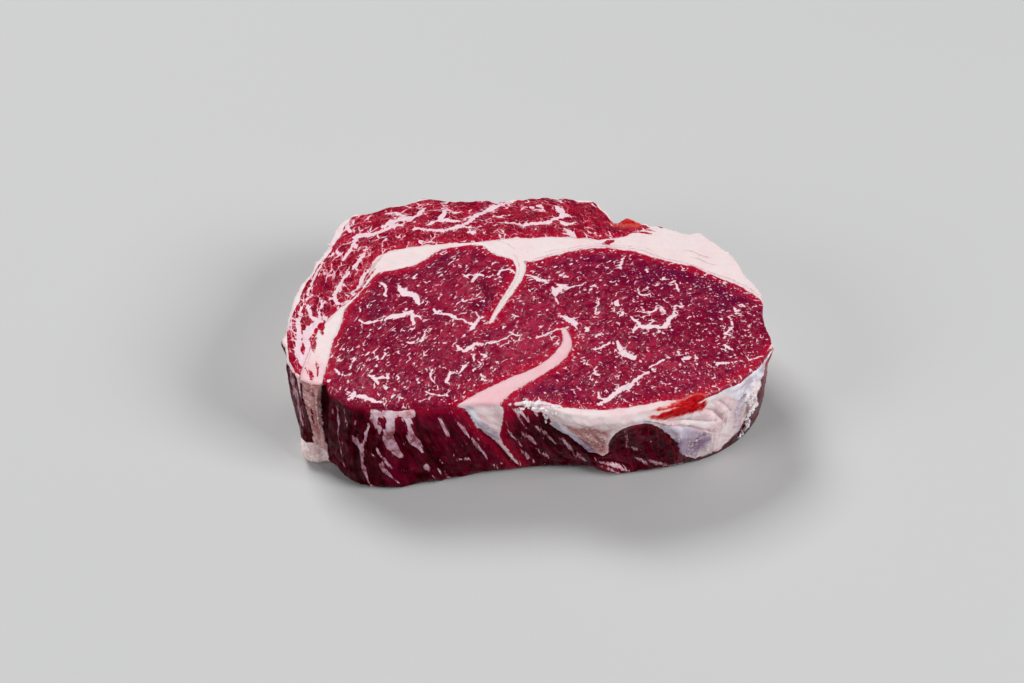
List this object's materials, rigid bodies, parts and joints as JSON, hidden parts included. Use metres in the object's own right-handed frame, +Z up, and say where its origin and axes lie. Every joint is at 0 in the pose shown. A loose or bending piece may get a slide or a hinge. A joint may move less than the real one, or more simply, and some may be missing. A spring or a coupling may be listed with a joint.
{
  "type": "raw ribeye steak",
  "caption": "Thick-cut boneless raw ribeye steak with its eye, cap muscle, seam fat, back fat and rib-side fat, lying flat on its lower cut face.",
  "frame": {"origin": "on the surface it lies on, under the centre of the steak's bounding box", "axes": "+X along the steak towards the tip of the eye, +Y towards the cap and back fat, +Z up through the thickness"},
  "size_m": [0.1658, 0.1144, 0.0407],
  "materials": {
    "eye_lean": "moist raw lean with fine white marbling",
    "cap_lean": "moist raw lean with heavy wavy marbling",
    "seam_fat": "satin cream fat",
    "rib_side_fat": "satin pink-white fat under a thin glossy membrane",
    "rib_lean": "moist dark lean"
  },
  "bodies": {
    "root": {"eye_muscle": "eye_lean", "cap_muscle": "cap_lean", "seam_fat": "seam_fat", "inner_seam_fat": "seam_fat", "rib_side_fat": "rib_side_fat", "rib_meat": "rib_lean"}
  },
  "joints": []
}
